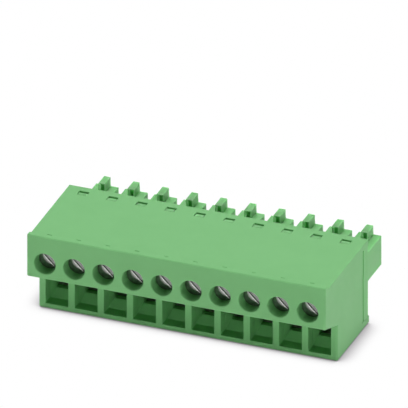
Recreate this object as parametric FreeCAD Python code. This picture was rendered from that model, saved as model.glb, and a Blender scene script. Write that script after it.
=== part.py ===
import FreeCAD, Part
import math
import os

os.makedirs("parts", exist_ok=True)

# Row of poles
pole_count = 10
pitch = 3.81
chamber_wall = 0.86
end_wall = 0.885

# Shell of the front housing, in side view, from its lower front face
screw_face_overhang = 4.14
ledge_height = 6.42
lip_height = 0.47
lip_depth = 0.8
wall_reach = 8.5
top_plate_thickness = 0.78
foot_lead = 0.3
foot_thickness = 1.05
edge_chamfer = 0.12
base_chamfer = 0.22
corner_radius = 0.25

# Wire entry of each pole
entry_floor = 0.75
entry_height = 3.9
entry_depth = 1.6
funnel_depth = 1.0
window_jamb = 0.4
window_height = 2.43
window_wall = 0.9

# Screw
screw_rise = 2.08
screw_recess = 1.34
head_length = 1.33
shank_radius = 1.0
tip_setback = 0.1
slot_width = 0.42
slot_depth = 0.4
slot_angle = 45.0
bore_radius = 1.38

# Wedge nut and pressure jaw
nut_half_height = 1.4
jaw_length = 2.6
jaw_rear_height = 0.6
jaw_top_drop = 0.09
jaw_stop = 0.22

# Contact strip with its spring fork
strip_thickness = 0.4
strip_margin = 0.175
fork_width = 1.2
fork_thickness = 0.3
fork_gap = 1.3
fork_pinch = 0.62
fork_flare = 0.3
fork_straight = 2.2
fork_tip_length = 0.7
fork_end_gap = 0.25

# Rear carrier with its mating chambers
carrier_thickness = 1.87
carrier_rim_width = 0.12
carrier_rim_gap = 0.36
carrier_edge_chamfer = 0.1
tower_spacing = 0.86
tower_height = 4.0
tower_bottom = 4.64
tower_length = 6.9
tower_chamfer = 0.15
tower_end_wall = 0.8
cavity_side_room = 0.35
cavity_spring_room = 0.3
pin_mouth = 1.3
pin_mouth_chamfer = 0.3

# Coding rib on each mating chamber
rib_width = 0.86
rib_height = 1.25
rib_length = 2.2
rib_wall = 0.1
rib_pocket_depth = 0.7

# Snap tongue of the carrier and its window in the top plate
chamber_roof = 0.15
snap_bridge = 1.0
snap_window_width = 1.27
snap_window_length = 1.0
snap_nose_length = 0.88
snap_nose_chamfer = 0.33
snap_nose_drop = 0.04
snap_tongue_reach = 0.3
snap_tongue_thickness = 0.6
snap_tongue_root = 0.5
snap_tongue_room = 0.12

# Small mark behind the lip at each pole
mark_width = 0.62
mark_length = 0.4
mark_depth = 0.06
mark_setback = 0.5

# Clearances
seat_gap = 0.02
slide_gap = 0.06
running_gap = 0.05
head_gap = 0.08
incline_gap = 0.07
chamber_gap = 0.12
carrier_gap = 0.03
sill_step = 0.25

# Worked out: row and heights
chamber_width = pitch - chamber_wall
half_width = (pole_count - 1) * pitch / 2 + chamber_width / 2 + end_wall
pole_places = [(index - (pole_count - 1) / 2) * pitch for index in range(pole_count)]
screw_height = ledge_height + screw_rise
nut_bottom = screw_height - nut_half_height
nut_top = screw_height + nut_half_height
chamber_top = nut_top + slide_gap
tongue_room_floor = chamber_top + chamber_roof
tongue_bottom = tongue_room_floor + snap_tongue_room
tongue_top = tongue_bottom + snap_tongue_thickness
plate_underside = tongue_top + snap_tongue_room
top_height = plate_underside + top_plate_thickness
lip_top = top_height + lip_height

# Worked out: front to rear
screw_face = -screw_face_overhang
carrier_front = wall_reach + carrier_gap
carrier_rear = carrier_front + carrier_thickness
foot_reach = carrier_rear + foot_lead
tower_rear = carrier_rear + tower_length
snap_window_rear = carrier_rear - snap_bridge
snap_window_front = snap_window_rear - snap_window_length
funnel_end = entry_depth + funnel_depth
chamber_front = funnel_end + window_wall
head_front = screw_face + screw_recess
shoulder = head_front + head_length
centre_shift = -(screw_face + tower_rear) / 2

# Worked out: clamp
head_radius = bore_radius - head_gap
strip_underside = foot_thickness + seat_gap
strip_top = strip_underside + strip_thickness
riser_rear = wall_reach - seat_gap
riser_front = riser_rear - strip_thickness
window_bottom = strip_top + sill_step
window_top = window_bottom + window_height
jaw_bottom = window_top - slide_gap
jaw_front = chamber_front + chamber_gap
jaw_rear = jaw_front + jaw_length
jaw_flat_top = nut_bottom - jaw_top_drop
jaw_incline = jaw_rear + jaw_bottom + jaw_rear_height
clamp_travel = jaw_bottom - strip_top - jaw_stop
wedge_incline = jaw_incline + incline_gap
wedge_toe = jaw_bottom + jaw_rear_height + slide_gap
nut_front = wedge_incline - nut_bottom
nut_rear = riser_front - chamber_gap
screw_tip = nut_rear - tip_setback
chamber_incline = wedge_incline - clamp_travel - 2 * incline_gap
nut_chamber_front = nut_front - clamp_travel - chamber_gap

# Worked out: mating chambers
tower_width = pitch - tower_spacing
tower_top = tower_bottom + tower_height
tower_centre = tower_bottom + tower_height / 2
fork_outside = fork_gap / 2 + fork_thickness
cavity_width = fork_width + 2 * cavity_side_room
cavity_height = 2 * (fork_outside + cavity_spring_room)
cavity_rear = tower_rear - tower_end_wall


def block(x_low, x_high, y_low, y_high, z_low, z_high):
    """A box between two corners."""
    corner = FreeCAD.Vector(x_low, y_low, z_low)
    return Part.makeBox(x_high - x_low, y_high - y_low, z_high - z_low, corner)


def prism(outline, x_low, x_high):
    """A side-view outline of (y, z) points, drawn along X."""
    points = [FreeCAD.Vector(x_low, y, z) for y, z in outline]
    face = Part.Face(Part.makePolygon(points + points[:1]))
    return face.extrude(FreeCAD.Vector(x_high - x_low, 0, 0))


def rod(radius, y_low, y_high, x=0.0, z=0.0):
    """A round bar along Y."""
    start = FreeCAD.Vector(x, y_low, z)
    return Part.makeCylinder(radius, y_high - y_low, start, FreeCAD.Vector(0, 1, 0))


def frustum(y_low, low, y_high, high):
    """A solid between two upright rectangles, each given as (x_low, x_high, z_low, z_high)."""
    wires = []
    for y, (x_low, x_high, z_low, z_high) in ((y_low, low), (y_high, high)):
        corners = [(x_low, z_low), (x_high, z_low), (x_high, z_high), (x_low, z_high)]
        points = [FreeCAD.Vector(x, y, z) for x, z in corners]
        wires.append(Part.makePolygon(points + points[:1]))
    return Part.makeLoft(wires, True, True)


def edges_along(solid, direction, keep):
    """The straight edges that run along a direction and whose middle passes the keep test."""
    found = []
    for edge in solid.Edges:
        start, end = edge.Vertexes[0].Point, edge.Vertexes[-1].Point
        run = end - start
        if run.Length < 1e-6:
            continue
        if abs(abs(run.normalize().dot(direction)) - 1) < 1e-6 and keep((start + end) * 0.5):
            found.append(edge)
    return found


def housing_shell():
    """The outer form: a screw block over the wire block, with a top plate and a foot at the rear."""
    outline = [
        (0, 0),
        (0, ledge_height),
        (screw_face, ledge_height),
        (screw_face, lip_top),
        (screw_face + lip_depth, lip_top),
        (screw_face + lip_depth, top_height),
        (carrier_rear, top_height),
        (carrier_rear, plate_underside),
        (wall_reach, plate_underside),
        (wall_reach, foot_thickness),
        (foot_reach, foot_thickness),
        (foot_reach, 0),
    ]
    shell = prism(outline, -half_width, half_width)
    x_way = FreeCAD.Vector(1, 0, 0)
    z_way = FreeCAD.Vector(0, 0, 1)

    def block_edge(middle):
        return abs(middle.y - screw_face) < 1e-6

    def base_edge(middle):
        return abs(middle.y) < 1e-6 and abs(middle.z) < 1e-6

    def front_corner(middle):
        return abs(middle.y - screw_face) < 1e-6 or abs(middle.y) < 1e-6

    shell = shell.makeFillet(corner_radius, edges_along(shell, z_way, front_corner))
    shell = shell.makeChamfer(edge_chamfer, edges_along(shell, x_way, block_edge))
    return shell.makeChamfer(base_chamfer, edges_along(shell, x_way, base_edge))


def wire_entry(x):
    """Pocket, funnel and window that lead a wire into the clamp."""
    half_entry = chamber_width / 2
    half_window = half_entry - window_jamb
    entry_top = entry_floor + entry_height
    pocket = (x - half_entry, x + half_entry, entry_floor, entry_top)
    window = (x - half_window, x + half_window, window_bottom, window_top)
    return [
        block(pocket[0], pocket[1], 0, entry_depth, pocket[2], pocket[3]),
        frustum(entry_depth, pocket, funnel_end, window),
        block(window[0], window[1], funnel_end, chamber_front, window[2], window[3]),
    ]


def clamp_chamber(x):
    """The room for the contact, jaw and wedge nut, open at the rear."""
    outline = [
        (wall_reach, foot_thickness),
        (chamber_front, foot_thickness),
        (chamber_front, chamber_incline - chamber_front),
        (nut_chamber_front, chamber_incline - nut_chamber_front),
        (nut_chamber_front, chamber_top),
        (wall_reach, chamber_top),
    ]
    return prism(outline, x - chamber_width / 2, x + chamber_width / 2)


def screw_bore(x):
    """The stepped bore, with the shoulder that the screw's head bears on."""
    return [
        rod(bore_radius, screw_face, shoulder + seat_gap, x, screw_height),
        rod(shank_radius + running_gap, shoulder + seat_gap, nut_chamber_front, x, screw_height),
    ]


def snap_window(x):
    """The window in the top plate and the room for the snap tongue under it."""
    half_window = snap_window_width / 2
    room_front = carrier_front - snap_tongue_reach - chamber_gap
    return [
        block(x - half_window, x + half_window, snap_window_front, snap_window_rear,
              plate_underside, top_height),
        block(x - half_window, x + half_window, room_front, wall_reach,
              tongue_room_floor, plate_underside),
    ]


def lip_mark(x):
    """The small dent behind the lip."""
    start = screw_face + lip_depth + mark_setback
    return block(x - mark_width / 2, x + mark_width / 2, start, start + mark_length,
                 top_height - mark_depth, top_height)


def front_housing():
    """The moulded housing with its row of chambers."""
    cuts = []
    for x in pole_places:
        cuts += wire_entry(x)
        cuts.append(clamp_chamber(x))
        cuts += screw_bore(x)
        cuts += snap_window(x)
        cuts.append(lip_mark(x))
    return housing_shell().cut(cuts)


def screw(x):
    """A slotted screw with a cylindrical head."""
    head = rod(head_radius, head_front, shoulder)
    body = head.fuse(rod(shank_radius, shoulder, screw_tip))
    slot = block(-head_radius, head_radius, head_front, head_front + slot_depth,
                 -slot_width / 2, slot_width / 2)
    slot.rotate(FreeCAD.Vector(0, 0, 0), FreeCAD.Vector(0, 1, 0), slot_angle)
    turned = body.cut(slot)
    turned.translate(FreeCAD.Vector(x, 0, screw_height))
    return turned


def wedge_nut(x):
    """The nut that the screw draws forward, with its inclined underside."""
    outline = [
        (nut_front, nut_top),
        (nut_rear, nut_top),
        (nut_rear, wedge_toe),
        (wedge_incline - wedge_toe, wedge_toe),
        (nut_front, nut_bottom),
    ]
    half = chamber_width / 2 - slide_gap
    solid = prism(outline, x - half, x + half)
    return solid.cut(rod(shank_radius + running_gap, nut_front, nut_rear, x, screw_height))


def pressure_jaw(x):
    """The jaw that the wedge nut drives down onto the wire."""
    outline = [
        (jaw_front, jaw_bottom),
        (jaw_rear, jaw_bottom),
        (jaw_rear, jaw_bottom + jaw_rear_height),
        (jaw_incline - jaw_flat_top, jaw_flat_top),
        (jaw_front, jaw_flat_top),
    ]
    half = chamber_width / 2 - slide_gap
    return prism(outline, x - half, x + half)


def contact(x):
    """Clamping strip, riser and the spring fork that takes the header's pin."""
    strip_front = chamber_front + seat_gap
    half_strip = chamber_width / 2 - strip_margin
    half_fork = fork_width / 2
    fork_end = cavity_rear - fork_end_gap
    pinch = fork_end - fork_tip_length
    straight_end = riser_rear + fork_straight
    strip = [
        (strip_front, strip_underside),
        (riser_rear, strip_underside),
        (riser_rear, tower_centre + fork_outside),
        (riser_front, tower_centre + fork_outside),
        (riser_front, strip_top),
        (strip_front, strip_top),
    ]
    solid = prism(strip, x - half_strip, x + half_strip)
    for side in (-1, 1):
        inner_line = [
            (riser_front, fork_gap / 2),
            (straight_end, fork_gap / 2),
            (pinch, fork_pinch / 2),
            (fork_end, fork_pinch / 2 + fork_flare),
        ]
        outer_line = [(y, offset + fork_thickness) for y, offset in reversed(inner_line)]
        blade = [(y, tower_centre + side * offset) for y, offset in inner_line + outer_line]
        solid = solid.fuse(prism(blade, x - half_fork, x + half_fork))
    return solid.removeSplitter()


def mating_chamber(x):
    """One mating chamber with its hollow coding rib."""
    half_tower = tower_width / 2
    slim = half_tower - tower_chamfer
    rear_low = tower_bottom + tower_chamfer
    rear_high = tower_top - tower_chamfer
    chamfer_start = tower_rear - tower_chamfer
    full = (x - half_tower, x + half_tower, tower_bottom, tower_top)
    tower = block(full[0], full[1], carrier_rear, chamfer_start, full[2], full[3])
    end = frustum(chamfer_start, full, tower_rear, (x - slim, x + slim, rear_low, rear_high))
    half_rib = rib_width / 2
    rib_front = tower_rear - rib_length
    rib_rear = tower_rear - tower_chamfer
    rib_top = tower_top + rib_height
    rib = block(x - half_rib, x + half_rib, rib_front, rib_rear, tower_top - tower_chamfer, rib_top)
    pocket = block(x - half_rib + rib_wall, x + half_rib - rib_wall, rib_front,
                   rib_front + rib_pocket_depth, tower_top, rib_top - rib_wall)
    return tower.fuse([end, rib]).cut(pocket)


def pin_way(x):
    """The cavity for the spring fork and the mouth for the header's pin."""
    half_cavity = cavity_width / 2
    half_mouth = pin_mouth / 2
    wide = half_mouth + pin_mouth_chamfer
    mouth = (x - half_mouth, x + half_mouth, tower_centre - half_mouth, tower_centre + half_mouth)
    flare = (x - wide, x + wide, tower_centre - wide, tower_centre + wide)
    return [
        block(x - half_cavity, x + half_cavity, carrier_front, cavity_rear,
              tower_centre - cavity_height / 2, tower_centre + cavity_height / 2),
        block(mouth[0], mouth[1], cavity_rear, tower_rear, mouth[2], mouth[3]),
        frustum(tower_rear - pin_mouth_chamfer, mouth, tower_rear, flare),
    ]


def tongue_slot(x):
    """The room beside and below a snap tongue, so that it can bend."""
    half_slot = snap_window_width / 2 + snap_tongue_room
    return block(x - half_slot, x + half_slot, carrier_front, carrier_rear - snap_tongue_root,
                 tongue_bottom - 2 * snap_tongue_room, plate_underside)


def snap_tongue(x):
    """The tongue of the carrier whose nose fills its window in the top plate."""
    half = snap_window_width / 2 - slide_gap
    nose_front = snap_window_front + slide_gap
    nose_rear = nose_front + snap_nose_length
    nose_top = top_height - snap_nose_drop
    outline = [
        (carrier_front - snap_tongue_reach, tongue_bottom),
        (carrier_rear - snap_tongue_root, tongue_bottom),
        (carrier_rear - snap_tongue_root, tongue_top),
        (nose_rear, tongue_top),
        (nose_rear, nose_top - snap_nose_chamfer),
        (nose_rear - snap_nose_chamfer, nose_top),
        (nose_front, nose_top),
        (nose_front, tongue_top),
        (carrier_front - snap_tongue_reach, tongue_top),
    ]
    return prism(outline, x - half, x + half)


def pole_carrier():
    """The rear plate with its mating chambers and snap tongues."""
    low = foot_thickness + carrier_gap
    high = plate_underside - carrier_gap
    rim_front = carrier_front + carrier_rim_gap
    rim = block(-half_width, half_width, rim_front, carrier_rear, low, high)
    z_way = FreeCAD.Vector(0, 0, 1)
    rear_corners = edges_along(rim, z_way, lambda middle: middle.y > carrier_rear - 1e-6)
    rim = rim.makeChamfer(carrier_edge_chamfer, rear_corners)
    seat_half = half_width - carrier_rim_width
    seat = block(-seat_half, seat_half, carrier_front, rim_front, low, high)
    cuts = []
    for x in pole_places:
        cuts += pin_way(x)
        cuts.append(tongue_slot(x))
    plate = rim.fuse([seat] + [mating_chamber(x) for x in pole_places]).removeSplitter()
    return plate.cut(cuts).fuse([snap_tongue(x) for x in pole_places])


def save(name, solid):
    """Move a piece so that the base centre is the origin, and write it."""
    placed = solid.copy()
    placed.translate(FreeCAD.Vector(0, centre_shift, 0))
    if placed.ShapeType == "Compound" and len(placed.Solids) == 1:
        placed = placed.Solids[0]
    placed.exportStep("parts/" + name + ".step")
    box = placed.BoundBox
    print(name, placed.isValid(), len(placed.Solids), round(placed.Volume, 3),
          [round(value, 3) for value in (box.XMin, box.XMax, box.YMin, box.YMax, box.ZMin, box.ZMax)])


save("front_housing", front_housing())
save("pole_carrier", pole_carrier())
for number, place in enumerate(pole_places, start=1):
    label = "%02d" % number
    save("screw_" + label, screw(place))
    save("wedge_nut_" + label, wedge_nut(place))
    save("pressure_jaw_" + label, pressure_jaw(place))
    save("contact_" + label, contact(place))
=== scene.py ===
import bpy
import bmesh
import math
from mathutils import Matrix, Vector


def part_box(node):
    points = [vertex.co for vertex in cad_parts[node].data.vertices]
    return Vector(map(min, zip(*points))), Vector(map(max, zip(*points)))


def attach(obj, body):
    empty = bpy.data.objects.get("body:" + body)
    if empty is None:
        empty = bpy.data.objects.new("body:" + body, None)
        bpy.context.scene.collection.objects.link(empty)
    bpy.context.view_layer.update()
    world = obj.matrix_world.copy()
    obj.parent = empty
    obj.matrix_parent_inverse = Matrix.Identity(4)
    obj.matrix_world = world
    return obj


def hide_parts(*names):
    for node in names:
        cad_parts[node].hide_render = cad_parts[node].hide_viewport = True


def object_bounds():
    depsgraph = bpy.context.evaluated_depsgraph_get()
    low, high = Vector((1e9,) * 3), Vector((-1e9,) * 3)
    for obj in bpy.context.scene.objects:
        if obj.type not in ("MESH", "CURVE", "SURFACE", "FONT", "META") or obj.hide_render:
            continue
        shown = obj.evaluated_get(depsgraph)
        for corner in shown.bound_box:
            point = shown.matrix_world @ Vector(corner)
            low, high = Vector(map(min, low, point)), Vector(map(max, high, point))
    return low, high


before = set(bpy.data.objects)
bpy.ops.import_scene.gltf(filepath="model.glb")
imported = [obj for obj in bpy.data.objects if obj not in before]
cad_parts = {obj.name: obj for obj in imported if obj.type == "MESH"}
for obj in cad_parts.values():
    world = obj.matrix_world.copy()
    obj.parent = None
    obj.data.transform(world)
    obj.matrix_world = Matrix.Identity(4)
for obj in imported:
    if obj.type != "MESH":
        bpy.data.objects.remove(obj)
cadLow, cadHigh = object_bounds()

# Where things are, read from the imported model
poleNumbers = sorted(name[-2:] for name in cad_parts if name.startswith("screw_"))
housingLow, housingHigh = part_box("front_housing")
firstPole = poleNumbers[0]
screwLow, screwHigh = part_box("screw_" + firstPole)
nutLow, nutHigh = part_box("wedge_nut_" + firstPole)
jawLow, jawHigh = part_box("pressure_jaw_" + firstPole)
screwAxis = (screwLow + screwHigh) / 2
poleX = {number: sum(corner.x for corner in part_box("screw_" + number)) / 2 for number in poleNumbers}


# Camera: a parallel view, placed by one corner that shows in the picture
viewSettings = {
    "frameWidth": 408,          # pixels
    "pixelsPerMetre": 8208.0,
    "azimuth": 21.06,           # degrees, towards the right end
    "elevation": 28.55,
    "cornerPixel": (337.6, 362.05),  # lower front right corner of the wire block
    "overhang": 0.00414,        # of the screw block over the wire block
    "distance": 0.5,
    "clipStart": 0.01,
    "clipEnd": 5.0,
}


def makeCamera(values):
    turn = math.radians(values["azimuth"])
    tilt = math.radians(values["elevation"])
    back = Vector((math.sin(turn) * math.cos(tilt), -math.cos(turn) * math.cos(tilt), math.sin(tilt)))
    right = Vector((math.cos(turn), math.sin(turn), 0))
    up = back.cross(right)
    corner = Vector((housingHigh.x, housingLow.y + values["overhang"], housingLow.z))
    middle = values["frameWidth"] / 2
    acrossShift = (middle - values["cornerPixel"][0]) / values["pixelsPerMetre"]
    upShift = (values["cornerPixel"][1] - middle) / values["pixelsPerMetre"]
    aim = corner + right * acrossShift + up * upShift
    data = bpy.data.cameras.new("photoView")
    data.type = "ORTHO"
    data.ortho_scale = values["frameWidth"] / values["pixelsPerMetre"]
    data.clip_start = values["clipStart"]
    data.clip_end = values["clipEnd"]
    data.dof.use_dof = False
    camera = bpy.data.objects.new("photoView", data)
    bpy.context.scene.collection.objects.link(camera)
    camera.location = aim + back * values["distance"]
    camera.rotation_mode = "QUATERNION"
    camera.rotation_quaternion = back.to_track_quat("Z", "Y")
    bpy.context.scene.camera = camera


makeCamera(viewSettings)
print("camera set")


# Small helpers for node materials
def newMaterial(name):
    material = bpy.data.materials.new(name)
    material.use_nodes = True
    tree = material.node_tree
    shader = tree.nodes["Principled BSDF"]
    return material, tree, shader


def addNode(tree, kind, **inputs):
    node = tree.nodes.new(kind)
    for key, value in inputs.items():
        node.inputs[key].default_value = value
    return node


def noiseFrom(tree, coordinates, scale, detail=3.0, roughness=0.5):
    node = addNode(tree, "ShaderNodeTexNoise", Scale=scale, Detail=detail, Roughness=roughness)
    tree.links.new(coordinates, node.inputs["Vector"])
    return node.outputs["Fac"]


def spread(tree, value, low, high):
    # the noise's middle stretch, spread between two values
    node = addNode(tree, "ShaderNodeMapRange")
    node.inputs["From Min"].default_value = 0.3
    node.inputs["From Max"].default_value = 0.7
    node.inputs["To Min"].default_value = low
    node.inputs["To Max"].default_value = high
    tree.links.new(value, node.inputs["Value"])
    return node.outputs["Result"]


def mixColours(tree, value, first, second):
    node = tree.nodes.new("ShaderNodeMix")
    node.data_type = "RGBA"
    node.inputs["A"].default_value = (*first, 1)
    node.inputs["B"].default_value = (*second, 1)
    tree.links.new(value, node.inputs["Factor"])
    return node.outputs["Result"]


def addBump(tree, shader, height, strength, distance):
    node = addNode(tree, "ShaderNodeBump", Strength=strength, Distance=distance)
    tree.links.new(height, node.inputs["Height"])
    tree.links.new(node.outputs["Normal"], shader.inputs["Normal"])


# Moulded green polyamide: nearly even colour, a fine spark-eroded grain, a soft gloss
housingFinish = {
    "lightGreen": (0.180, 0.484, 0.179),
    "darkGreen": (0.174, 0.472, 0.173),
    "roughness": (0.46, 0.54),
    "flowScale": 220.0,         # per metre: soft clouds of a few millimetres
    "flowDetail": 4.0,
    "flowRoughness": 0.55,
    "grainScale": 9000.0,       # per metre: grain of about a tenth of a millimetre
    "grainDetail": 2.0,
    "grainRoughness": 0.6,
    "grainStrength": 0.12,
    "grainDepth": 0.00001,
    "specular": 0.38,
    "scatter": 0.0,             # share of the light that wanders inside before it leaves
    "scatterReach": 0.0012,     # metres
    "scatterColour": (0.8, 1.0, 0.8),
}
carrierFinish = dict(housingFinish, scatter=1.0, lightGreen=(0.178, 0.478, 0.177),
                     darkGreen=(0.172, 0.466, 0.171))


def mouldedPlastic(name, values):
    material, tree, shader = newMaterial(name)
    coordinates = tree.nodes.new("ShaderNodeTexCoord").outputs["Object"]
    flow = noiseFrom(tree, coordinates, values["flowScale"], values["flowDetail"], values["flowRoughness"])
    grain = noiseFrom(tree, coordinates, values["grainScale"], values["grainDetail"],
                      values["grainRoughness"])
    colour = mixColours(tree, spread(tree, flow, 0.0, 1.0), values["lightGreen"], values["darkGreen"])
    tree.links.new(colour, shader.inputs["Base Color"])
    tree.links.new(spread(tree, flow, *values["roughness"]), shader.inputs["Roughness"])
    addBump(tree, shader, grain, values["grainStrength"], values["grainDepth"])
    shader.inputs["Specular IOR Level"].default_value = values["specular"]
    shader.inputs["Subsurface Weight"].default_value = values["scatter"]
    shader.inputs["Subsurface Scale"].default_value = values["scatterReach"]
    shader.inputs["Subsurface Radius"].default_value = values["scatterColour"]
    return material


# Zinc-plated steel, turned: fine rings round a line along Y through the piece's origin, and stains in the
# plating
steelFinish = {
    "bright": (0.30, 0.315, 0.295),
    "dull": (0.20, 0.212, 0.195),
    "roughness": (0.13, 0.21),
    "ringScale": 1600.0,
    "ringDistortion": 1.5,
    "ringStrength": 0.25,
    "ringDepth": 0.00001,
    "stainScale": 3200.0,
}


def turnedSteel(name, values):
    material, tree, shader = newMaterial(name)
    coordinates = tree.nodes.new("ShaderNodeTexCoord").outputs["Object"]
    rings = tree.nodes.new("ShaderNodeTexWave")
    rings.wave_type = "RINGS"
    rings.rings_direction = "Y"
    rings.inputs["Scale"].default_value = values["ringScale"]
    rings.inputs["Distortion"].default_value = values["ringDistortion"]
    tree.links.new(coordinates, rings.inputs["Vector"])
    stain = noiseFrom(tree, coordinates, values["stainScale"])
    colour = mixColours(tree, spread(tree, stain, 0.0, 1.0), values["bright"], values["dull"])
    tree.links.new(colour, shader.inputs["Base Color"])
    tree.links.new(spread(tree, stain, *values["roughness"]), shader.inputs["Roughness"])
    addBump(tree, shader, rings.outputs["Fac"], values["ringStrength"], values["ringDepth"])
    shader.inputs["Metallic"].default_value = 1.0
    return material


# Milled brass of the clamp, and tin over copper on the contacts: both drawn along one direction
brassFinish = {
    "bright": (0.74, 0.56, 0.26),
    "dull": (0.60, 0.44, 0.20),
    "roughness": (0.28, 0.42),
    "stretch": (1.0, 0.06, 1.0),    # draws the noise out along Y
    "lineScale": 12000.0,
    "lineDetail": 2.0,
    "lineStrength": 0.2,
    "lineDepth": 0.000008,
    "stainScale": 700.0,
}
tinFinish = dict(brassFinish, bright=(0.72, 0.72, 0.70), dull=(0.58, 0.58, 0.57), roughness=(0.30, 0.48))


def drawnMetal(name, values):
    material, tree, shader = newMaterial(name)
    coordinates = tree.nodes.new("ShaderNodeTexCoord").outputs["Object"]
    stretched = tree.nodes.new("ShaderNodeMapping")
    stretched.inputs["Scale"].default_value = values["stretch"]
    tree.links.new(coordinates, stretched.inputs["Vector"])
    lines = noiseFrom(tree, stretched.outputs["Vector"], values["lineScale"], values["lineDetail"])
    stain = noiseFrom(tree, coordinates, values["stainScale"])
    colour = mixColours(tree, spread(tree, stain, 0.0, 1.0), values["bright"], values["dull"])
    tree.links.new(colour, shader.inputs["Base Color"])
    tree.links.new(spread(tree, lines, *values["roughness"]), shader.inputs["Roughness"])
    addBump(tree, shader, lines, values["lineStrength"], values["lineDepth"])
    shader.inputs["Metallic"].default_value = 1.0
    return material


housingGreen = mouldedPlastic("housingGreen", housingFinish)
carrierGreen = mouldedPlastic("carrierGreen", carrierFinish)
screwSteel = turnedSteel("screwSteel", steelFinish)
clampBrass = drawnMetal("clampBrass", brassFinish)
contactTin = drawnMetal("contactTin", tinFinish)
print("materials made")


# Pieces of the same form share one mesh, drawn at the first pole
def showPiece(name, mesh, material, body, node, offset=0.0):
    piece = bpy.data.objects.new(name, mesh)
    bpy.context.scene.collection.objects.link(piece)
    piece.location = (offset, 0, 0)
    if not mesh.materials:
        mesh.materials.append(material)
    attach(piece, body)
    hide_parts(node)


def showRow(name, mesh, material, nodeName, body=None):
    # one piece for each pole, on its own body unless one is named
    for number in poleNumbers:
        node = nodeName + number
        showPiece(name + number, mesh, material, body or node, node,
                  poleX[number] - poleX[firstPole])


def sharpEdges(work, angle):
    return [edge for edge in work.edges
            if len(edge.link_faces) == 2 and edge.calc_face_angle(0) > math.radians(angle)]


def clearEdges(edges, least):
    # without those that end beside a very short edge, where a rounding would fold over
    return [edge for edge in edges
            if min(beside.calc_length() for corner in edge.verts for beside in corner.link_edges) > least]


def roundEdges(work, edges, radius, steps):
    bmesh.ops.bevel(work, geom=edges, offset=radius, offset_type="OFFSET", segments=steps, profile=0.5,
                    affect="EDGES", clamp_overlap=False)


def roundedMesh(nodeName, values, reshape=None, softerEdges=None):
    # the solid's own faces, with its edges broken as a mould or a tumbler leaves them
    work = bmesh.new()
    work.from_mesh(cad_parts[nodeName].data)
    bmesh.ops.remove_doubles(work, verts=work.verts, dist=values["weld"])
    bmesh.ops.dissolve_limit(work, angle_limit=math.radians(values["flatAngle"]), verts=work.verts,
                             edges=work.edges)
    if reshape:
        reshape(work)
    if softerEdges:
        roundEdges(work, softerEdges(work), values["softerRadius"], values["softerSteps"])
    hard = clearEdges(sharpEdges(work, values["sharpAngle"]), values["edgeRadius"] * values["shortEdge"])
    roundEdges(work, hard, values["edgeRadius"], values["steps"])
    mesh = bpy.data.meshes.new(nodeName + "Rounded")
    work.to_mesh(mesh)
    work.free()
    return mesh


# Front housing
housingValues = {
    "weld": 0.000001,
    "flatAngle": 0.5,
    "sharpAngle": 50,           # the solid's own 45 degree chamfers stay as they are
    "edgeRadius": 0.00006,
    "shortEdge": 2.2,           # in radii: a rounding stays away from shorter edges
    "steps": 2,
    "mouthReach": 0.0016,       # from a screw's axis, takes in the mouth of its bore
    "softerRadius": 0.00014,    # of the bores' mouths
    "softerSteps": 3,
    "ledge": 0.00642,           # height of the overhang's underside at its front edge
    "ledgeChamfer": 0.00012,
    "ledgeFall": 0.0014,        # by which the underside slopes down to the wire block
    "cornerReach": 0.0003,      # takes in the wire block's rounded corners
    "slack": 0.000001,          # for comparing places
}


def boreMouths(work):
    def onMouth(corner):
        return abs(corner.y - housingLow.y) < housingValues["slack"] and any(
            math.hypot(corner.x - middle, corner.z - screwAxis.z) < housingValues["mouthReach"]
            for middle in poleX.values())

    return [edge for edge in sharpEdges(work, housingValues["sharpAngle"])
            if all(onMouth(corner.co) for corner in edge.verts)]


def slopeLedge(work):
    # tips the underside of the overhang, with the chamfer round it
    front = housingLow.y + housingValues["ledgeChamfer"]
    back = housingLow.y + viewSettings["overhang"]
    lowest = housingLow.z + housingValues["ledge"] - housingValues["slack"]
    highest = housingLow.z + housingValues["ledge"] + housingValues["ledgeChamfer"] + housingValues["slack"]
    for corner in work.verts:
        if lowest < corner.co.z < highest and corner.co.y < back + housingValues["cornerReach"]:
            corner.co.z -= housingValues["ledgeFall"] * max(0.0, (corner.co.y - front) / (back - front))


housingMesh = roundedMesh("front_housing", housingValues, slopeLedge, boreMouths)
showPiece("frontHousing", housingMesh, housingGreen, "shell", "front_housing")
print("front housing made:", len(housingMesh.polygons), "faces")


# Pole carrier
carrierValues = dict(housingValues, edgeRadius=0.00004)
carrierMesh = roundedMesh("pole_carrier", carrierValues)
showPiece("poleCarrier", carrierMesh, carrierGreen, "shell", "pole_carrier")
print("pole carrier made:", len(carrierMesh.polygons), "faces")


# Screws: a slotted head, and a right-hand thread that the wedge nut rides on
screwValues = {
    "threadPitch": 0.0004,
    "headRadius": (screwHigh.x - screwLow.x) / 2,
    "headLength": 0.00133,
    "headEdge": 0.00012,        # rounded edge round the head
    "edgeSteps": 3,
    "domeRadius": 0.013,        # of the head's slightly domed face
    "domeSteps": 9,
    "slotWidth": 0.00018,
    "slotDepth": 0.0004,
    "lowerLip": 0.00014,        # widths of the lips, which widen the slot at the face
    "upperLip": 0.00004,
    "lipSlope": 20,             # degrees
    "slotAngle": 45,            # degrees, from upper left to lower right
    "slotOverrun": 1.5,         # reach of the bar that cuts it, in head radii
    "threadTop": 0.001,
    "threadRoot": 0.000755,
    "crest": 1.15,              # over 1, which leaves the ridges flat crests
    "flank": 1.3,               # steepness of their sides
    "runOut": 0.0004,           # length over which the thread fades at either end
    "around": 36,
    "rowsPerTurn": 8,
    "headSteps": 72,
}


def threadDepth(y, angle):
    # 1 on the crest and 0 in the root of the ridge at angle = 2 pi y / pitch
    share = (y / screwValues["threadPitch"] - angle / (2 * math.pi)) % 1.0
    away = min(share, 1.0 - share) * 2
    return min(1.0, max(0.0, screwValues["crest"] - screwValues["flank"] * away))


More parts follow.
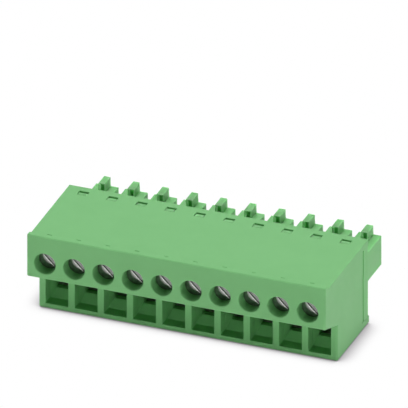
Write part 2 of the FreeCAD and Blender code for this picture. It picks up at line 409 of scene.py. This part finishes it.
def threadRing(work, y, radiusAt, steps):
    ring = []
    for step in range(steps):
        angle = 2 * math.pi * step / steps
        radius = radiusAt(y, angle)
        ring.append(work.verts.new((screwAxis.x + radius * math.sin(angle), y,
                                    screwAxis.z + radius * math.cos(angle))))
    return ring


def joinRings(work, rings):
    for ring, following in zip(rings, rings[1:]):
        for step in range(len(ring)):
            beside = (step + 1) % len(ring)
            work.faces.new((ring[step], ring[beside], following[beside], following[step]))


def slotPrism(values, front):
    # the bar that cuts the slot: straight walls, and a shallow lip rolled along either side
    half = values["slotWidth"] / 2
    slope = math.tan(math.radians(values["lipSlope"]))
    above = values["headEdge"]      # the bar starts this far in front of the head
    lower, upper = values["lowerLip"], values["upperLip"]
    shift = (lower - upper) / 2     # keeps the whole opening in the middle of the head
    section = [(shift - half - lower - above / slope, -above), (shift - half, lower * slope),
               (shift - half, values["slotDepth"]), (shift + half, values["slotDepth"]),
               (shift + half, upper * slope), (shift + half + upper + above / slope, -above)]
    turn = math.radians(values["slotAngle"])
    along = Vector((math.cos(turn), 0, -math.sin(turn))) * values["headRadius"] * values["slotOverrun"]
    across = Vector((math.sin(turn), 0, math.cos(turn)))
    work = bmesh.new()
    ends = []
    for side in (-1, 1):
        middle = Vector((screwAxis.x, front, screwAxis.z)) + along * side
        ends.append([work.verts.new(middle + across * offset + Vector((0, depth, 0)))
                     for offset, depth in section])
    work.faces.new(ends[0])
    work.faces.new(list(reversed(ends[1])))
    for index in range(len(section)):
        following = (index + 1) % len(section)
        work.faces.new((ends[0][index], ends[1][index], ends[1][following], ends[0][following]))
    bmesh.ops.recalc_face_normals(work, faces=work.faces)
    bar = bpy.data.meshes.new("slotBar")
    work.to_mesh(bar)
    work.free()
    return bar


def headProfile(values):
    # distances behind the front and radii: a slight dome, the rounded edge and the side
    edge = values["headEdge"]
    flatRadius = values["headRadius"] - edge
    profile = []
    for step in range(1, values["domeSteps"] + 1):
        radius = flatRadius * step / values["domeSteps"]
        profile.append((radius ** 2 / 2 / values["domeRadius"], radius))
    fall = profile[-1][0]
    for step in range(1, values["edgeSteps"] + 1):
        angle = math.pi / 2 * step / values["edgeSteps"]
        profile.append((fall + edge * (1 - math.cos(angle)), flatRadius + edge * math.sin(angle)))
    return profile + [(values["headLength"], values["headRadius"])]


def slottedHead(values):
    # a turned head with its slot cut across it
    front = screwLow.y
    work = bmesh.new()
    rings = []
    for depth, radius in headProfile(values):
        rings.append(threadRing(work, front + depth, lambda y, angle: radius, values["headSteps"]))
    joinRings(work, rings)
    work.faces.new(rings[0])
    work.faces.new(rings[-1])
    bmesh.ops.recalc_face_normals(work, faces=work.faces)
    head = bpy.data.meshes.new("slottedHead")
    work.to_mesh(head)
    work.free()
    headObject = bpy.data.objects.new("slottedHead", head)
    barObject = bpy.data.objects.new("slotBar", slotPrism(values, front))
    for item in (headObject, barObject):
        bpy.context.scene.collection.objects.link(item)
    cut = headObject.modifiers.new("slot", "BOOLEAN")
    cut.operation = "DIFFERENCE"
    cut.solver = "EXACT"
    cut.object = barObject
    ready = headObject.evaluated_get(bpy.context.evaluated_depsgraph_get())
    cutMesh = bpy.data.meshes.new_from_object(ready)
    for item in (headObject, barObject):
        bpy.data.objects.remove(item)
    return cutMesh


def screwMesh(values):
    work = bmesh.new()
    work.from_mesh(slottedHead(values))
    pitch = values["threadPitch"]
    start = screwLow.y + values["headLength"] - pitch / 4
    end = screwHigh.y

    def threadRadius(y, angle):
        fade = min(1.0, max(0.0, (y - start - pitch) / values["runOut"]), (end - y) / values["runOut"])
        depth = threadDepth(y, angle) * fade
        return values["threadRoot"] + (values["threadTop"] - values["threadRoot"]) * depth

    rows = round((end - start) / pitch * values["rowsPerTurn"])
    rings = [threadRing(work, start + (end - start) * row / rows, threadRadius, values["around"])
             for row in range(rows + 1)]
    joinRings(work, rings)
    work.faces.new(list(reversed(rings[0])))
    work.faces.new(rings[-1])
    bmesh.ops.recalc_face_normals(work, faces=work.faces)
    mesh = bpy.data.meshes.new("threadedScrew")
    work.to_mesh(mesh)
    work.free()
    return mesh


threadedScrew = screwMesh(screwValues)
showRow("screw", threadedScrew, screwSteel, "screw_")
print("screws made:", len(threadedScrew.polygons), "faces each")


# Wedge nuts: milled blocks with a tapped hole
nutValues = {
    "weld": 0.000001,
    "flatAngle": 0.5,
    "sharpAngle": 25,
    "edgeRadius": 0.00005,
    "shortEdge": 2.2,
    "steps": 2,
    "threadTop": 0.0008,        # the nut's own crests, which stand in the screw's roots
    "threadRoot": 0.00103,
    "sleeveRadius": 0.0011,     # outside of the threaded sleeve, within the block
    "threadSetback": 0.0001,    # from either end of the block
    "runOut": 0.0003,
}


def tappedNut(values):
    mesh = roundedMesh("wedge_nut_" + firstPole, values)
    work = bmesh.new()
    work.from_mesh(mesh)
    pitch = screwValues["threadPitch"]
    steps = screwValues["around"]
    # the wedge's slope cuts the front below the hole, so the thread starts where the hole is whole
    start = nutLow.y + values["threadSetback"]
    end = nutHigh.y - values["threadSetback"]

    def sleeveRadius(y, angle):
        return values["sleeveRadius"]

    def tapRadius(y, angle):
        fade = min(1.0, max(0.0, (y - start) / values["runOut"]), (end - y) / values["runOut"])
        depth = (1.0 - threadDepth(y, angle)) * fade
        return values["threadRoot"] - (values["threadRoot"] - values["threadTop"]) * depth

    rows = round((end - start) / pitch * screwValues["rowsPerTurn"])
    inner = [threadRing(work, start + (end - start) * row / rows, tapRadius, steps)
             for row in range(rows + 1)]
    outer = [threadRing(work, y, sleeveRadius, steps) for y in (end, start)]
    joinRings(work, inner + outer + inner[:1])
    bmesh.ops.recalc_face_normals(work, faces=work.faces)
    work.to_mesh(mesh)
    work.free()
    return mesh


nutMesh = tappedNut(nutValues)
showRow("wedgeNut", nutMesh, clampBrass, "wedge_nut_")
print("wedge nuts made:", len(nutMesh.polygons), "faces each")


# Pressure jaws: a sloped back under the nut, and grooves that grip the wire
jawValues = {
    "rearHeight": 0.0006,
    "groovePitch": 0.0005,
    "grooveDepth": 0.00012,
    "endLand": 0.00025,         # flat left at either end of the grooves
    "sharpAngle": 40,
    "edgeRadius": 0.00004,
}


def grippingJaw(values):
    rise = jawHigh.z - jawLow.z - values["rearHeight"]
    outline = [(jawHigh.y, jawLow.z), (jawHigh.y, jawLow.z + values["rearHeight"]),
               (jawHigh.y - rise, jawHigh.z), (jawLow.y, jawHigh.z), (jawLow.y, jawLow.z)]
    length = jawHigh.y - jawLow.y - 2 * values["endLand"]
    count = round(length / values["groovePitch"])
    step = length / count
    for groove in range(count):
        start = jawLow.y + values["endLand"] + groove * step
        outline += [(start, jawLow.z), (start + step / 2, jawLow.z + values["grooveDepth"])]
    outline.append((jawHigh.y - values["endLand"], jawLow.z))
    work = bmesh.new()
    sides = [[work.verts.new((x, y, z)) for y, z in outline] for x in (jawLow.x, jawHigh.x)]
    work.faces.new(sides[0])
    work.faces.new(list(reversed(sides[1])))
    for index in range(len(outline)):
        following = (index + 1) % len(outline)
        work.faces.new((sides[0][index], sides[1][index], sides[1][following], sides[0][following]))
    bmesh.ops.recalc_face_normals(work, faces=work.faces)
    bmesh.ops.bevel(work, geom=sharpEdges(work, values["sharpAngle"]), offset=values["edgeRadius"],
                    offset_type="OFFSET", segments=1, profile=0.5, affect="EDGES", clamp_overlap=True)
    mesh = bpy.data.meshes.new("grippingJaw")
    work.to_mesh(mesh)
    work.free()
    return mesh


jawMesh = grippingJaw(jawValues)
showRow("pressureJaw", jawMesh, clampBrass, "pressure_jaw_")
print("pressure jaws made:", len(jawMesh.polygons), "faces each")


# Contacts: stamped strip with its spring fork
contactValues = dict(housingValues, edgeRadius=0.00003, sharpAngle=40, steps=1)
contactMesh = roundedMesh("contact_" + firstPole, contactValues)
showRow("contact", contactMesh, contactTin, "contact_", "shell")
print("contacts made:", len(contactMesh.polygons), "faces each")


# Plain floor: white to the camera and in reflections, apart from a painted shade close under the edges,
# found by an occlusion test rather than cast by the lamps; the same painted shade darkens the floor's own
# colour there, so it throws back less light
floorValues = {
    "size": 3.0,
    "colour": (0.9, 0.9, 0.9),
    "contactReach": 0.003,      # how far the shade under the edges spreads
    "contactSamples": 32,
    "shadeLow": 0.25,           # openness that shows as the darkest shade
    "shadeHigh": 0.97,          # and as none
    "shadeDarkest": 0.24,
    "shadeTint": (1.0, 0.96, 1.0),
}


def seenDirectly(tree):
    # 1 for rays from the camera, and in reflections and glass
    path = tree.nodes.new("ShaderNodeLightPath")
    seen = path.outputs["Is Camera Ray"]
    for name in ("Is Glossy Ray", "Is Transmission Ray"):
        either = tree.nodes.new("ShaderNodeMath")
        either.operation = "MAXIMUM"
        tree.links.new(seen, either.inputs[0])
        tree.links.new(path.outputs[name], either.inputs[1])
        seen = either.outputs[0]
    return seen


def makeFloor(values):
    half = values["size"] / 2
    mesh = bpy.data.meshes.new("floor")
    corners = [(-half, -half, 0), (half, -half, 0), (half, half, 0), (-half, half, 0)]
    mesh.from_pydata(corners, [], [(0, 1, 2, 3)])
    floor = bpy.data.objects.new("floor", mesh)
    bpy.context.scene.collection.objects.link(floor)
    floor.location.z = cadLow.z
    material, tree, shader = newMaterial("floorWhite")
    shader.inputs["Roughness"].default_value = 1.0
    shader.inputs["Specular IOR Level"].default_value = 0.0
    near = tree.nodes.new("ShaderNodeAmbientOcclusion")
    near.samples = values["contactSamples"]
    near.inputs["Distance"].default_value = values["contactReach"]
    shade = tree.nodes.new("ShaderNodeMapRange")
    shade.interpolation_type = "SMOOTHSTEP"
    shade.inputs["From Min"].default_value = values["shadeLow"]
    shade.inputs["From Max"].default_value = values["shadeHigh"]
    shade.inputs["To Min"].default_value = values["shadeDarkest"]
    tree.links.new(near.outputs["AO"], shade.inputs["Value"])
    # painted shade: the floor's own colour darkened close under the edges
    paintedShadeColour = mixColours(tree, shade.outputs["Result"], (0.0, 0.0, 0.0), values["colour"])
    tree.links.new(paintedShadeColour, shader.inputs["Base Color"])
    # painted shade: the white seen by the camera dims and takes the tint close under the edges
    white = tree.nodes.new("ShaderNodeEmission")
    tint = mixColours(tree, shade.outputs["Result"], values["shadeTint"], (1.0, 1.0, 1.0))
    tree.links.new(tint, white.inputs["Color"])
    tree.links.new(shade.outputs["Result"], white.inputs["Strength"])
    choose = tree.nodes.new("ShaderNodeMixShader")
    tree.links.new(seenDirectly(tree), choose.inputs["Fac"])
    tree.links.new(shader.outputs[0], choose.inputs[1])
    tree.links.new(white.outputs[0], choose.inputs[2])
    tree.links.new(choose.outputs[0], tree.nodes["Material Output"].inputs["Surface"])
    mesh.materials.append(material)


makeFloor(floorValues)


# Soft studio light: a wide box overhead, a band low all round, little between them, and a weak lamp
lightValues = {
    "overhead": 4.74,
    "overheadPlace": (-0.05, 0.25, 0.95),   # direction of its middle, a little behind
    "overheadFrom": 0.8,        # cosine of the angle from its middle at which it starts
    "overheadFull": 0.97,
    "low": 3.82,                # at the horizon
    "lowEnds": 0.22,            # height, as a sine, at which the low band has faded
    "between": 0.03,            # from there up to the box
    "lampPower": 0.06,          # watts
    "lampSize": 0.5,
    "lampPlace": (0.35, -0.05, 0.45),
}


def levelBetween(tree, height, start, end, first, last):
    level = tree.nodes.new("ShaderNodeMapRange")
    level.interpolation_type = "SMOOTHSTEP"
    level.inputs["From Min"].default_value = start
    level.inputs["From Max"].default_value = end
    level.inputs["To Min"].default_value = first
    level.inputs["To Max"].default_value = last
    tree.links.new(height, level.inputs["Value"])
    return level.outputs["Result"]


def makeLight(values):
    world = bpy.data.worlds.new("surround")
    bpy.context.scene.world = world
    world.use_nodes = True
    tree = world.node_tree
    background = tree.nodes["Background"]
    background.inputs["Color"].default_value = (1, 1, 1, 1)
    direction = tree.nodes.new("ShaderNodeTexCoord").outputs["Generated"]
    parts = tree.nodes.new("ShaderNodeSeparateXYZ")
    tree.links.new(direction, parts.inputs[0])
    towardsBox = tree.nodes.new("ShaderNodeVectorMath")
    towardsBox.operation = "DOT_PRODUCT"
    towardsBox.inputs[1].default_value = Vector(values["overheadPlace"]).normalized()
    tree.links.new(direction, towardsBox.inputs[0])
    above = levelBetween(tree, towardsBox.outputs["Value"], values["overheadFrom"], values["overheadFull"],
                         0.0, values["overhead"] - values["between"])
    below = levelBetween(tree, parts.outputs["Z"], 0.0, values["lowEnds"], values["low"], values["between"])
    both = tree.nodes.new("ShaderNodeMath")
    tree.links.new(above, both.inputs[0])
    tree.links.new(below, both.inputs[1])
    tree.links.new(both.outputs[0], background.inputs["Strength"])
    lamp = bpy.data.lights.new("weakLamp", "AREA")
    lamp.shape = "DISK"
    lamp.size = values["lampSize"]
    lamp.energy = values["lampPower"]
    holder = bpy.data.objects.new("weakLamp", lamp)
    bpy.context.scene.collection.objects.link(holder)
    holder.location = values["lampPlace"]
    holder.rotation_mode = "QUATERNION"
    holder.rotation_quaternion = Vector(values["lampPlace"]).to_track_quat("Z", "Y")


makeLight(lightValues)
bpy.context.scene.view_settings.view_transform = "Standard"
print("floor and light set")
